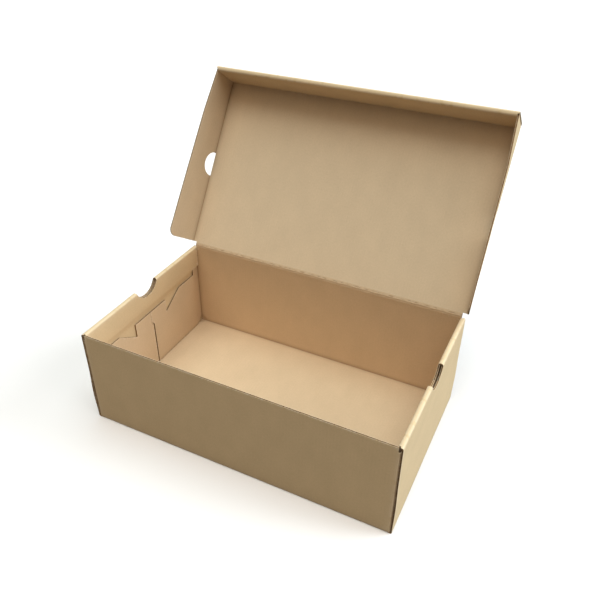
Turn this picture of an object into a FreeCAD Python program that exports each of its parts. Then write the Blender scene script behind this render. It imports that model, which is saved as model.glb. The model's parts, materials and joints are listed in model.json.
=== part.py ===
import FreeCAD, Part
import math
import os
import re
import Sketcher

# Folding shoe box of thin corrugated board: one creased sheet, held as the tray and the hinged lid.
# X runs along the length, Y from the front to the hinge, Z up from the table, in millimetres.

# Driving sizes: name, value in millimetres or degrees, and what it measures
SIZES = [
    ("board", 1.6, "thickness of the board"),
    ("fold_radius", 0.5, "inner radius of every fold"),
    ("ply_gap", 0.2, "space between two layers of board that lie together"),
    ("tray_length", 330.0, "outer length of the tray"),
    ("tray_width", 197.0, "outer width of the tray"),
    ("tray_height", 110.0, "height of the end walls"),
    ("front_drop", 0.8, "how much lower the front wall's cut edge is"),
    ("end_inset", 0.3, "how far an end wall's cut edges lie behind the front and rear faces"),
    ("strip_drop", 26.0, "height of the folded-over strip inside an end wall"),
    ("strip_end_gap", 0.3, "space between the strip's ends and the long walls"),
    ("tongue_inset", 15.5, "distance of the tongue's ends from the front and rear faces"),
    ("tongue_slope", 7.0, "height over which the tongue runs back behind the corner flaps"),
    ("tongue_depth", 60.0, "depth of the tongue's cut edge below the wall's top"),
    ("flap_lift", 0.4, "space under the corner flaps"),
    ("corner_drop", 6.0, "depth of the folded corners' top edge below the wall's top"),
    ("corner_width", 6.0, "width of the folded corners above the strip's lower crease"),
    ("jog_start", 6.5, "distance from the long walls at which a flap begins to lean inward"),
    ("jog_width", 8.0, "width over which a flap leans inward to clear the tongue"),
    ("lip_gap", 1.0, "space between the sloping part of the tongue and the flaps' top edge"),
    ("shoulder_gap", 1.0, "space between the tongue's ends and the flaps' leaning part"),
    ("shoulder_clear", 0.5, "space between the flaps' shoulders and the strip"),
    ("hump_width", 54.0, "width of the middle part between the two notches"),
    ("hump_drop", 1.0, "how much lower the middle part's top edge is"),
    ("notch_depth", 16.5, "depth of the notches beside the middle part"),
    ("notch_run", 27.0, "width of each notch at its top"),
    ("notch_floor", 0.8, "width of each notch at its bottom"),
    ("slit_width", 1.2, "width of the slit where the two flaps meet"),
    ("slit_shift", 2.5, "how far the slit lies towards the rear"),
    ("slit_top", 56.0, "height at which the slit begins to bend"),
    ("slit_bend", 3.2, "middle radius of the slit's bend"),
    ("seam_width", 0.3, "width of the seam above the slit"),
    ("finger_width", 35.0, "width of the finger notch in each end wall"),
    ("finger_depth", 12.5, "depth of the finger notch"),
    ("hinge_gap", 0.3, "space between the rounded edges at the lid's crease"),
    ("lid_rest_gap", 0.3, "space between the closed lid and the end walls' tops"),
    ("lid_side_gap", 0.5, "space between the lid's side flaps and the end walls"),
    ("lid_front_gap", 0.3, "space between the lid's front flap and the front wall"),
    ("rim_depth", 40.0, "depth of the lid's front flap"),
    ("side_depth", 38.5, "depth of the lid's side flaps"),
    ("side_setback", 4.0, "distance from the crease to the side flaps' rear edge"),
    ("side_corner", 9.0, "radius of the side flaps' rear corner"),
    ("splay_place", 150.0, "distance from the crease at which the side flaps' middle splay is given"),
    ("splay_left_mid", 7.0, "how far the left side flap opens at that place, in degrees"),
    ("splay_left_rear", 18.0, "how far the left side flap opens at its rear, in degrees"),
    ("splay_right_mid", 4.5, "how far the right side flap opens at that place, in degrees"),
    ("splay_right_rear", 7.0, "how far the right side flap opens at its rear, in degrees"),
    ("hole_radius", 13.7, "radius of the half-round hole in each side flap"),
    ("ear_length", 32.0, "length of the ears inside the front flap"),
    ("tab_place", 78.0, "distance of each locking tab from the middle"),
    ("tab_width", 40.0, "width of each locking tab"),
    ("slot_gap", 0.2, "space around a tab in its slot"),
    ("lid_angle", 124.0, "how far the lid stands open, in degrees"),
]

# Expressions that several outlines share
OUTER = "(board + fold_radius)"
HALF_L = "(tray_length / 2)"
HALF_W = "(tray_width / 2)"
CORNER_OUT = "(board + ply_gap)"
CORNER_IN = f"({HALF_L} - {CORNER_OUT} - {OUTER})"
FLAP_OUT = "(2 * board + 2 * ply_gap)"
WALL = "(3 * board + 2 * ply_gap)"
STRIP_Z = "(tray_height - strip_drop)"
FLAP_Z = f"({STRIP_Z} - tongue_slope - lip_gap)"
SHOULDER_Z = f"({STRIP_Z} - shoulder_clear)"
CORNER_Z = "(tray_height - corner_drop)"
SHOULDER_Y = f"({HALF_W} - tongue_inset + shoulder_gap)"
FINGER_R = "((finger_width ^ 2 / 4 + finger_depth ^ 2) / (2 * finger_depth))"
HINGE_Y = f"({HALF_W} - board / 2)"
HINGE_Z = "(tray_height + lid_rest_gap + board / 2)"
REAR_Z = f"({HINGE_Z} - board - hinge_gap)"
LID_IN = f"({HINGE_Y} + {HALF_W} + lid_front_gap)"
LID_OUT = f"({LID_IN} + {WALL})"
LID_MID = f"(({LID_IN} + {LID_OUT}) / 2)"
LID_FOLD = f"({HALF_L} + lid_side_gap - fold_radius)"
LID_SIDE = f"({LID_FOLD} + {OUTER})"
EAR_OUT = f"({LID_IN} + 2 * board + ply_gap)"

doc = FreeCAD.newDocument("ShoeBox")
sheet = doc.addObject("Spreadsheet::Sheet", "Sizes")
for row, (alias, value, note) in enumerate(SIZES, start=1):
    sheet.set(f"A{row}", str(value))
    sheet.setAlias(f"A{row}", alias)
    sheet.set(f"B{row}", note)
doc.recompute()
ALIASES = re.compile(r"\b(" + "|".join(alias for alias, value, note in SIZES) + r")\b")


def bound(text):
    """Expression text with each size's name turned into a reference to the sheet."""
    return ALIASES.sub(r"Sizes.\1", str(text))


def number(text):
    """Present value of an expression."""
    return float(sheet.evalExpression(bound(text)))


def add_sketch(body, name, plane, offset="0"):
    """Empty sketch on one of the body's own origin planes, moved along the plane's normal."""
    sketch = body.newObject("Sketcher::SketchObject", name)
    planes = [item for item in body.Origin.OriginFeatures if item.Role == plane]
    sketch.AttachmentSupport = [(planes[0], "")]
    sketch.MapMode = "FlatFace"
    sketch.setExpression("AttachmentOffset.Base.z", bound(offset))
    return sketch


def fix_size(sketch, constraint, text):
    """Adds a constraint and binds its value to the sheet."""
    index = sketch.addConstraint(constraint)
    sketch.setExpression(f"Constraints[{index}]", bound(text))


def fix_point(sketch, geometry, point, across, up):
    """Holds a point of the sketch at two expressions."""
    fix_size(sketch, Sketcher.Constraint("DistanceX", -1, 1, geometry, point, number(across)), across)
    fix_size(sketch, Sketcher.Constraint("DistanceY", -1, 1, geometry, point, number(up)), up)


def arc_between(start, end, radius, side):
    """Arc of less than half a turn from start to end that bends to the left or the right."""
    chord = end - start
    reach = math.sqrt(max(radius**2 - (chord.Length / 2) ** 2, 0.0))
    left = FreeCAD.Vector(-chord.y, chord.x, 0) / chord.Length
    centre = (start + end) / 2 + left * (reach if side == "left" else -reach)
    first, last = (start, end) if side == "left" else (end, start)
    circle = Part.Circle(centre, FreeCAD.Vector(0, 0, 1), radius)
    angles = [math.atan2(point.y - centre.y, point.x - centre.x) for point in (first, last)]
    if angles[1] < angles[0]:
        angles[1] += 2 * math.pi
    return Part.ArcOfCircle(circle, *angles)


def add_outline(sketch, corners):
    """Closed outline. A corner is (across, up), or (across, up, radius, side) where an arc leaves it."""
    spots = [FreeCAD.Vector(number(corner[0]), number(corner[1]), 0) for corner in corners]
    ends = []
    for index, corner in enumerate(corners):
        start = spots[index]
        end = spots[(index + 1) % len(corners)]
        if len(corner) == 2:
            edge = sketch.addGeometry(Part.LineSegment(start, end))
            ends.append((edge, 1, 2))
        else:
            radius, side = corner[2:]
            edge = sketch.addGeometry(arc_between(start, end, number(radius), side))
            ends.append((edge, 1, 2) if side == "left" else (edge, 2, 1))
    for index, (edge, tail, head) in enumerate(ends):
        follower, follower_tail, follower_head = ends[(index + 1) % len(ends)]
        sketch.addConstraint(Sketcher.Constraint("Coincident", edge, head, follower, follower_tail))
        fix_point(sketch, edge, tail, corners[index][0], corners[index][1])
        if len(corners[index]) > 2:
            radius = corners[index][2]
            fix_size(sketch, Sketcher.Constraint("Radius", edge, number(radius)), radius)


def add_block(sketch, left, right, low, high):
    """Closed rectangle."""
    add_outline(sketch, [(left, low), (right, low), (right, high), (left, high)])


def add_disc(sketch, across, up, radius):
    """Closed circle."""
    centre = FreeCAD.Vector(number(across), number(up), 0)
    edge = sketch.addGeometry(Part.Circle(centre, FreeCAD.Vector(0, 0, 1), number(radius)))
    fix_point(sketch, edge, 3, across, up)
    fix_size(sketch, Sketcher.Constraint("Radius", edge, number(radius)), radius)


def mirrored(corners):
    """The same outline on the other side of the vertical axis."""
    other = {"left": "right", "right": "left"}
    turned = []
    for corner in corners:
        spot = (f"-({corner[0]})", corner[1])
        turned.append(spot if len(corner) == 2 else (*spot, corner[2], other[corner[3]]))
    return turned


def finish(feature):
    """Computes a feature and checks that it made a sound shape."""
    doc.recompute()
    if feature.Shape.isNull() or not feature.Shape.isValid():
        raise ValueError(f"{feature.Name} made no valid shape")
    return feature


def pad(body, name, sketch, length, both_ways=True):
    """Pad of a sketch, half to each side of it or along its normal."""
    feature = body.newObject("PartDesign::Pad", name)
    feature.Profile = sketch
    feature.SideType = "Symmetric" if both_ways else "One side"
    feature.setExpression("Length", bound(length))
    return finish(feature)


def cut_through(body, name, sketch):
    """Pocket through the whole body, to both sides of the sketch."""
    feature = body.newObject("PartDesign::Pocket", name)
    feature.Profile = sketch
    feature.Type = "ThroughAll"
    feature.SideType = "Symmetric"
    return shrunk(body, feature)


def cut_down(body, name, sketch, length, reverse=False):
    """Pocket of a stated depth against the sketch's normal, or along it."""
    feature = body.newObject("PartDesign::Pocket", name)
    feature.Profile = sketch
    feature.Type = "Length"
    feature.Reversed = reverse
    feature.setExpression("Length", bound(length))
    return shrunk(body, feature)


def shrunk(body, feature):
    """Checks that a pocket took material away."""
    before = feature.BaseFeature.Shape.Volume
    finish(feature)
    if feature.Shape.Volume >= before:
        raise ValueError(f"{feature.Name} cut nothing")
    return feature


# Tray


def tray_trough(body):
    """Front wall, bottom and rear wall, with the rear wall's rounded edge at the crease."""
    sketch = add_sketch(body, "TroughProfile", "YZ_Plane")
    front_z = "tray_height - front_drop"
    add_outline(sketch, [
        (f"-{HALF_W}", front_z),
        (f"-{HALF_W}", OUTER, OUTER, "left"),
        (f"-{HALF_W} + {OUTER}", "0"),
        (f"{HALF_W} - {OUTER}", "0", OUTER, "left"),
        (HALF_W, OUTER),
        (HALF_W, REAR_Z, "board / 2", "left"),
        (HINGE_Y, f"{REAR_Z} + board / 2", "board / 2", "left"),
        (f"{HALF_W} - board", REAR_Z),
        (f"{HALF_W} - board", OUTER, "fold_radius", "right"),
        (f"{HALF_W} - {OUTER}", "board"),
        (f"-{HALF_W} + {OUTER}", "board", "fold_radius", "right"),
        (f"-{HALF_W} + board", OUTER),
        (f"-{HALF_W} + board", front_z),
    ])
    pad(body, "Trough", sketch, f"2 * {CORNER_IN}")


def tray_corner_flaps(body):
    """Corner flaps folded in from the long walls, first as one band across each end."""
    sketch = add_sketch(body, "FlapBands", "XY_Plane", "board + flap_lift")
    outside = f"{HALF_L} - {CORNER_OUT}"
    inside = f"{outside} - board"
    leaned = f"{HALF_L} - {FLAP_OUT}"
    start = f"({HALF_W} - jog_start)"
    stop = f"({HALF_W} - jog_start - jog_width)"
    band = [
        (outside, f"-{HALF_W} + {OUTER}"),
        (outside, f"-{start}"),
        (leaned, f"-{stop}"),
        (leaned, stop),
        (outside, start),
        (outside, f"{HALF_W} - {OUTER}", OUTER, "left"),
        (CORNER_IN, HALF_W),
        (CORNER_IN, f"{HALF_W} - board", "fold_radius", "right"),
        (inside, f"{HALF_W} - {OUTER}"),
        (inside, start),
        (f"{leaned} - board", stop),
        (f"{leaned} - board", f"-{stop}"),
        (inside, f"-{start}"),
        (inside, f"-{HALF_W} + {OUTER}", "fold_radius", "right"),
        (CORNER_IN, f"-{HALF_W} + board"),
        (CORNER_IN, f"-{HALF_W}", OUTER, "left"),
    ]
    add_outline(sketch, band)
    add_outline(sketch, mirrored(band))
    pad(body, "Flaps", sketch, f"{CORNER_Z} - board - flap_lift", both_ways=False)


def tray_flap_edges(body):
    """Cut edges of the corner flaps: shoulders, notches, the slit between them and its seam."""
    corner = f"({HALF_W} - corner_width)"
    hump = "hump_width / 2"
    low = f"{FLAP_Z} - notch_depth"
    top = f"{FLAP_Z} - hump_drop"
    bend_y = "slit_shift - slit_bend"
    narrow = "slit_bend - slit_width / 2"
    wide = "slit_bend + slit_width / 2"
    sketch = add_sketch(body, "FlapEdges", "YZ_Plane")
    add_outline(sketch, [
        (f"-{corner}", "tray_height"),
        (f"-{corner}", SHOULDER_Z),
        (f"-{SHOULDER_Y}", SHOULDER_Z),
        (f"-{SHOULDER_Y}", FLAP_Z),
        (f"-({hump} + notch_run)", FLAP_Z),
        (f"-({hump} + notch_floor)", low),
        (f"-({hump})", low),
        (f"-({hump})", top),
        (f"{bend_y} - seam_width", top),
        (f"{bend_y} - seam_width", f"slit_top + {narrow}"),
        (bend_y, f"slit_top + {narrow}", narrow, "right"),
        ("slit_shift - slit_width / 2", "slit_top"),
        ("slit_shift - slit_width / 2", "board"),
        ("slit_shift + slit_width / 2", "board"),
        ("slit_shift + slit_width / 2", "slit_top", wide, "left"),
        (bend_y, f"slit_top + {wide}"),
        (bend_y, top),
        (hump, top),
        (hump, low),
        (f"{hump} + notch_floor", low),
        (f"{hump} + notch_run", FLAP_Z),
        (SHOULDER_Y, FLAP_Z),
        (SHOULDER_Y, SHOULDER_Z),
        (corner, SHOULDER_Z),
        (corner, "tray_height"),
    ])
    cut_through(body, "FlapCut", sketch)


def tray_end_walls(body):
    """End walls: outer panel, folded-over top, inner strip and the tongue behind the flaps."""
    def depth(text):
        return f"{HALF_L} - ({text})"

    sketch = add_sketch(body, "EndPanelProfile", "XZ_Plane")
    panel = [
        (depth(f"{WALL} / 2"), "tray_height"),
        (depth(f"{WALL} / 2"), "tray_height - board"),
        (depth(OUTER), "tray_height - board", "fold_radius", "right"),
        (depth("board"), f"tray_height - {OUTER}"),
        (depth("board"), OUTER, "fold_radius", "right"),
        (depth(OUTER), "board"),
        (depth(f"{WALL} + board"), "board"),
        (depth(f"{WALL} + board"), "0"),
        (depth(OUTER), "0", OUTER, "left"),
        (HALF_L, OUTER),
        (HALF_L, f"tray_height - {OUTER}", OUTER, "left"),
        (depth(OUTER), "tray_height"),
    ]
    add_outline(sketch, panel)
    add_outline(sketch, mirrored(panel))
    pad(body, "EndPanels", sketch, "tray_width - 2 * end_inset")
    sketch = add_sketch(body, "StripProfile", "XZ_Plane")
    strip = [
        (depth(f"{WALL} / 2"), "tray_height"),
        (depth(f"{WALL} - {OUTER}"), "tray_height", OUTER, "left"),
        (depth(WALL), f"tray_height - {OUTER}"),
        (depth(WALL), STRIP_Z),
        (depth(f"{WALL} - board"), STRIP_Z),
        (depth(f"{WALL} - board"), f"tray_height - {OUTER}", "fold_radius", "right"),
        (depth(f"{WALL} - {OUTER}"), "tray_height - board"),
        (depth(f"{WALL} / 2"), "tray_height - board"),
    ]
    add_outline(sketch, strip)
    add_outline(sketch, mirrored(strip))
    pad(body, "Strips", sketch, "tray_width - 2 * board - 2 * strip_end_gap")
    sketch = add_sketch(body, "TongueProfile", "XZ_Plane")
    tongue = [
        (depth(WALL), STRIP_Z),
        (depth("2 * board + ply_gap"), f"{STRIP_Z} - tongue_slope"),
        (depth("2 * board + ply_gap"), "tray_height - tongue_depth"),
        (depth("board + ply_gap"), "tray_height - tongue_depth"),
        (depth("board + ply_gap"), f"{STRIP_Z} - tongue_slope"),
        (depth(f"{WALL} - board"), STRIP_Z),
    ]
    add_outline(sketch, tongue)
    add_outline(sketch, mirrored(tongue))
    pad(body, "Tongues", sketch, "tray_width - 2 * tongue_inset")


def tray_finger_notches(body):
    """Finger notch through both layers of each end wall, a round about a point above its top."""
    sketch = add_sketch(body, "FingerNotch", "YZ_Plane")
    add_disc(sketch, "0", f"tray_height - finger_depth + {FINGER_R}", FINGER_R)
    cut_through(body, "FingerCut", sketch)


def make_tray():
    body = doc.addObject("PartDesign::Body", "Tray")
    body.Label = "tray"
    tray_trough(body)
    tray_corner_flaps(body)
    tray_flap_edges(body)
    tray_end_walls(body)
    tray_finger_notches(body)
    return body


# Lid, drawn closed with the crease's axis along its own X


def lid_panel(body):
    """Top panel with its rounded edge at the crease, and the slots for the locking tabs."""
    sketch = add_sketch(body, "PanelProfile", "YZ_Plane")
    front = f"-({LID_OUT} - {OUTER})"
    add_outline(sketch, [
        ("0", "board / 2"),
        (front, "board / 2"),
        (front, "-board / 2"),
        ("0", "-board / 2", "board / 2", "left"),
        ("board / 2", "0", "board / 2", "left"),
    ])
    pad(body, "Panel", sketch, f"2 * {LID_FOLD}")
    sketch = add_sketch(body, "RearCorners", "XY_Plane")
    corner = [
        (CORNER_IN, "-side_setback"),
        (LID_SIDE, "-side_setback"),
        (LID_SIDE, "board"),
        (CORNER_IN, "board"),
    ]
    add_outline(sketch, corner)
    add_outline(sketch, mirrored(corner))
    cut_through(body, "RearCornerCut", sketch)
    sketch = add_sketch(body, "TabSlots", "XY_Plane")
    for side in ("-", ""):
        middle = f"{side}tab_place"
        left = f"{middle} - tab_width / 2 - slot_gap"
        right = f"{middle} + tab_width / 2 + slot_gap"
        add_block(sketch, left, right, f"-({LID_IN} + board + slot_gap)", f"-({LID_IN} - slot_gap)")
    cut_through(body, "SlotCut", sketch)


def side_section(splay):
    """Section of the right side flap with its fold, turned outward by the splay."""
    bend_z = "(-board / 2 - fold_radius)"
    reach = "(side_depth - board / 2 - fold_radius)"
    root = f"{LID_FOLD} + {OUTER} * cos({splay})"
    root_z = f"{bend_z} + {OUTER} * sin({splay})"
    tip = f"{root} + {reach} * sin({splay})"
    tip_z = f"{root_z} - {reach} * cos({splay})"
    return [
        (f"{LID_FOLD} - board", "-board / 2"),
        (LID_FOLD, "-board / 2", "fold_radius", "right"),
        (f"{LID_FOLD} + fold_radius * cos({splay})", f"{bend_z} + fold_radius * sin({splay})"),
        (f"{tip} - board * cos({splay})", f"{tip_z} - board * sin({splay})"),
        (tip, tip_z),
        (root, root_z, OUTER, "left"),
        (LID_FOLD, "board / 2"),
        (f"{LID_FOLD} - board", "board / 2"),
    ]


def lid_side_flap(body, name, splays, turned):
    """Side flap that hangs square at its front and opens outward towards the rear."""
    places = [f"{EAR_OUT} - {OUTER}", "splay_place", "side_setback"]
    sections = []
    for index, (place, splay) in enumerate(zip(places, ["0", *splays])):
        sketch = add_sketch(body, f"{name}Section{index}", "XZ_Plane", place)
        outline = side_section(splay)
        add_outline(sketch, mirrored(outline) if turned else outline)
        sections.append(sketch)
    flap = body.newObject("PartDesign::AdditiveLoft", name)
    flap.Profile = sections[0]
    flap.Sections = sections[1:]
    flap.Ruled = True
    finish(flap)


def lid_side_cuts(body):
    """Rounded rear corners of the side flaps and the half-round holes on their folds."""
    sketch = add_sketch(body, "SideCorners", "YZ_Plane")
    splay = "((splay_left_rear + splay_right_rear) / 2)"
    low = f"-(side_depth * cos({splay}))"
    add_outline(sketch, [
        ("-side_setback", f"{low} + side_corner", "side_corner", "right"),
        ("-side_setback - side_corner", low),
        ("-side_setback - side_corner", f"{low} - side_corner"),
        ("board", f"{low} - side_corner"),
        ("board", f"{low} + side_corner"),
    ])
    cut_through(body, "SideCornerCut", sketch)
    outline = [
        (f"-{HINGE_Y} - hole_radius", "board"),
        (f"-{HINGE_Y} - hole_radius", "-board / 2", "hole_radius", "left"),
        (f"-{HINGE_Y}", "-board / 2 - hole_radius", "hole_radius", "left"),
        (f"-{HINGE_Y} + hole_radius", "-board / 2"),
        (f"-{HINGE_Y} + hole_radius", "board"),
    ]
    right = add_sketch(body, "RightHole", "YZ_Plane", f"{LID_FOLD} + fold_radius")
    add_outline(right, outline)
    cut_down(body, "RightHoleCut", right, "side_depth", reverse=True)
    left = add_sketch(body, "LeftHole", "YZ_Plane", f"-({LID_FOLD} + fold_radius)")
    add_outline(left, outline)
    cut_down(body, "LeftHoleCut", left, "side_depth")


def lid_ears(body):
    """Ears that fold from the side flaps into the front flap."""
    sketch = add_sketch(body, "EarProfile", "XY_Plane", "-side_depth")
    ear = [
        (f"{LID_SIDE} - ear_length", f"-({EAR_OUT})"),
        (f"{LID_SIDE} - {OUTER}", f"-({EAR_OUT})", OUTER, "left"),
        (LID_SIDE, f"-({EAR_OUT} - {OUTER})"),
        (f"{LID_SIDE} - board", f"-({EAR_OUT} - {OUTER})", "fold_radius", "right"),
        (f"{LID_SIDE} - {OUTER}", f"-({EAR_OUT} - board)"),
        (f"{LID_SIDE} - ear_length", f"-({EAR_OUT} - board)"),
    ]
    add_outline(sketch, ear)
    add_outline(sketch, mirrored(ear))
    pad(body, "Ears", sketch, "side_depth - board / 2 - ply_gap", both_ways=False)


def lid_front_flap(body):
    """Double front flap: outer layer, folded rim, inner layer and its two locking tabs."""
    sketch = add_sketch(body, "FrontOuterProfile", "YZ_Plane")
    add_outline(sketch, [
        (f"-({LID_OUT} - {OUTER})", "board / 2", OUTER, "left"),
        (f"-{LID_OUT}", f"board / 2 - {OUTER}"),
        (f"-{LID_OUT}", f"{OUTER} - rim_depth", OUTER, "left"),
        (f"-({LID_OUT} - {OUTER})", "-rim_depth"),
        (f"-{LID_MID}", "-rim_depth"),
        (f"-{LID_MID}", "board - rim_depth"),
        (f"-({LID_OUT} - {OUTER})", "board - rim_depth", "fold_radius", "right"),
        (f"-({LID_OUT} - board)", f"{OUTER} - rim_depth"),
        (f"-({LID_OUT} - board)", "-board / 2 - fold_radius", "fold_radius", "right"),
        (f"-({LID_OUT} - {OUTER})", "-board / 2"),
    ])
    pad(body, "FrontOuter", sketch, f"2 * {LID_SIDE}")
    sketch = add_sketch(body, "FrontInnerProfile", "YZ_Plane")
    add_outline(sketch, [
        (f"-{LID_MID}", "-rim_depth"),
        (f"-({LID_IN} + {OUTER})", "-rim_depth", OUTER, "left"),
        (f"-{LID_IN}", f"{OUTER} - rim_depth"),
        (f"-{LID_IN}", "-board / 2 - ply_gap"),
        (f"-({LID_IN} + board)", "-board / 2 - ply_gap"),
        (f"-({LID_IN} + board)", f"{OUTER} - rim_depth", "fold_radius", "right"),
        (f"-({LID_IN} + {OUTER})", "board - rim_depth"),
        (f"-{LID_MID}", "board - rim_depth"),
    ])
    pad(body, "FrontInner", sketch, f"2 * ({LID_SIDE} - board - ply_gap)")
    sketch = add_sketch(body, "TabPlan", "XY_Plane", "-board / 2 - ply_gap")
    for side in ("-", ""):
        middle = f"{side}tab_place"
        left = f"{middle} - tab_width / 2"
        right = f"{middle} + tab_width / 2"
        add_block(sketch, left, right, f"-({LID_IN} + board)", f"-{LID_IN}")
    pad(body, "Tabs", sketch, "board + ply_gap", both_ways=False)


def make_lid():
    body = doc.addObject("PartDesign::Body", "Lid")
    body.Label = "lid"
    lid_panel(body)
    lid_side_flap(body, "LeftFlap", ["splay_left_mid", "splay_left_rear"], turned=True)
    lid_side_flap(body, "RightFlap", ["splay_right_mid", "splay_right_rear"], turned=False)
    lid_side_cuts(body)
    lid_ears(body)
    lid_front_flap(body)
    hinge = FreeCAD.Vector(0, number(HINGE_Y), number(HINGE_Z))
    opening = FreeCAD.Rotation(FreeCAD.Vector(-1, 0, 0), number("lid_angle"))
    body.Placement = FreeCAD.Placement(hinge, opening)
    body.setExpression("Placement.Base.y", bound(HINGE_Y))
    body.setExpression("Placement.Base.z", bound(HINGE_Z))
    body.setExpression("Placement.Rotation.Angle", bound("lid_angle"))
    return body


def check_document():
    """Stops before anything is written if an object has failed."""
    for item in doc.Objects:
        if {"Invalid", "Error"} & set(item.State):
            raise ValueError(f"{item.Name} is not in order: {item.State}")


def main():
    bodies = [make_tray(), make_lid()]
    doc.recompute()
    check_document()
    for body in bodies:
        if body.Shape.isNull() or not body.Shape.isValid():
            raise ValueError(f"{body.Label} has no valid shape")
    os.makedirs("parts", exist_ok=True)
    for body in bodies:
        solids = len(body.Shape.Solids)
        body.Shape.exportStep(os.path.join("parts", f"{body.Label}.step"))
        print(f"{body.Label}: {solids} solid, {body.Shape.Volume:.1f} cubic millimetres")


main()
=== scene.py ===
import json
import math
import bpy
import numpy as np
from mathutils import Matrix, Vector
from mathutils.geometry import delaunay_2d_cdt


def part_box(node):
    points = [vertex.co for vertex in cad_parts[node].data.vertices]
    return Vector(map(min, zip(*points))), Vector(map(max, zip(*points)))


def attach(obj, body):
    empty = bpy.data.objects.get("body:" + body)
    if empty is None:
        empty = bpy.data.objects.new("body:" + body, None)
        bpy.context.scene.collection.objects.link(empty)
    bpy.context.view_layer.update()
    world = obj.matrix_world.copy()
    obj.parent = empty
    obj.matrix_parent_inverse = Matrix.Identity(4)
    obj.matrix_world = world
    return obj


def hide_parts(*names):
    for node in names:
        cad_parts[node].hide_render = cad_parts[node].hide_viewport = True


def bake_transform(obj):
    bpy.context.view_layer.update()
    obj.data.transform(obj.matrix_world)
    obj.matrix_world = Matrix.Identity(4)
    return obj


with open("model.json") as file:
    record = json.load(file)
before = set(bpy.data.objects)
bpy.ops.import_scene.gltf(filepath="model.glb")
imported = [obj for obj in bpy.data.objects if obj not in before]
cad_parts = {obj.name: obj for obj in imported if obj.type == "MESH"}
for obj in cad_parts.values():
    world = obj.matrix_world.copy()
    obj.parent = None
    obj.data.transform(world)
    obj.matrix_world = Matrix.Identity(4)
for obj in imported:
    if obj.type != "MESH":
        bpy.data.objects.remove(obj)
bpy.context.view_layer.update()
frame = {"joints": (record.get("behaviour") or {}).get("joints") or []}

# The box is drawn as its flat cut sheet, in millimetres: X along the length, V along the flutes, N up
# through the board from the outer paper to the inner one. The sheet is then bent at its folds.

MM = 0.001
ACROSS = np.array((1.0, 0.0, 0.0))
ALONG = np.array((0.0, 1.0, 0.0))

# The board

BOARD = 1.6
LINER = 0.26
FLUTE_PITCH = 3.2
FLUTE_PAPER = 0.2
FLUTE_SAMPLES = 10
FLUTE_DEPTH = 3.2
EDGE_RECESS = 0.2
CORE_RECESS = 0.35
OPEN_RECESS = 2.8
CORE_WALL = 0.3
LEAST_PUSH = 0.2
ALONG_SHARE = 0.94
FLUTE_MERGE = 0.0005
PLY_GAP = 0.2

# Folds

FOLD_INNER = 0.5
FOLD_OUTER = BOARD + FOLD_INNER
FOLD_ARC = math.pi / 2 * (FOLD_INNER + BOARD / 2)
FOLD_STEPS = 6
FOLD_FADE = 0.25
SHARP_ANGLE = 40
CELL = 8.0
FINE_CELL = 1.0
SAME_POINT = 1e-5
NO_AREA = 1e-7
DOUBLE_WALL = 3 * BOARD + 2 * PLY_GAP
DOUBLE_TOP = DOUBLE_WALL - 2 * FOLD_OUTER
SLIT_GAP = 0.15

# The tray

tray_low, tray_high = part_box("tray")
HALF_LENGTH = (tray_high.x - tray_low.x) / 2 / MM
HALF_WIDTH = (tray_high.y - tray_low.y) / 2 / MM
HEIGHT = tray_high.z / MM
FRONT_DROP = 0.8
END_INSET = 0.3
STRIP_DROP = 26.0
STRIP_END_GAP = 0.3
TONGUE_INSET = 15.5
TONGUE_SLOPE = 7.0
TONGUE_DEPTH = 60.0
CORNER_DROP = 6.0
CORNER_WIDTH = 6.0
JOG_START = 6.5
JOG_WIDTH = 8.0
SHOULDER_GAP = 1.0
SHOULDER_DROP = 26.5
FLAP_DROP = 34.0
HUMP_HALF = 27.0
HUMP_DROP = 35.0
NOTCH_DROP = 50.5
NOTCH_RUN = 27.0
NOTCH_FLOOR = 0.8
SLIT_HALF = 0.9
SLIT_SHIFT = 2.5
SLIT_DROP = 54.0
SLIT_BEND = 3.2
SLIT_ARC = 8
SEAM = 0.3
FINGER_WIDTH = 35.0
FINGER_DEPTH = 12.5
FINGER_ARC = 23
END_BOW = (1.3, 0.5)
BOW_TOP = 0.6

# The lid

hinge = frame["joints"][0]
HINGE_Y = hinge["pos_m"][1] / MM
HINGE_Z = hinge["pos_m"][2] / MM
LID_OPEN = math.radians(-hinge["range_deg"][0])
CREASE_REACH = 2.0
LID_GAP = 0.3
SIDE_GAP = 0.5
SIDE_DEPTH = 38.5
SIDE_SETBACK = 4.0
SIDE_CORNER = 9.0
SIDE_CORNER_ARC = 10
RIM_DEPTH = 40.0
EAR_LENGTH = 32.0
SPLAY_PLACE = 150.0
LEFT_SPLAY = (7.0, 18.0)
RIGHT_SPLAY = (4.5, 6.98)
HOLE_RADIUS = 13.7
HOLE_ARC = 31
TAB_PLACE = 78.0
TAB_HALF = 20.0
TAB_SLOT = 0.2

# Places on the tray's flat sheet

WALL_FOLD = HALF_WIDTH - FOLD_OUTER
END_FOLD = HALF_LENGTH - FOLD_OUTER
CORNER_FOLD = END_FOLD - BOARD - PLY_GAP
END_EDGE = HALF_WIDTH - END_INSET
TOP_FOLD = END_FOLD + FOLD_ARC + HEIGHT - 2 * FOLD_OUTER
STRIP_FOLD = TOP_FOLD + FOLD_ARC + DOUBLE_TOP
STRIP_START = STRIP_FOLD + FOLD_ARC

# Places on the lid's flat sheet

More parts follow.
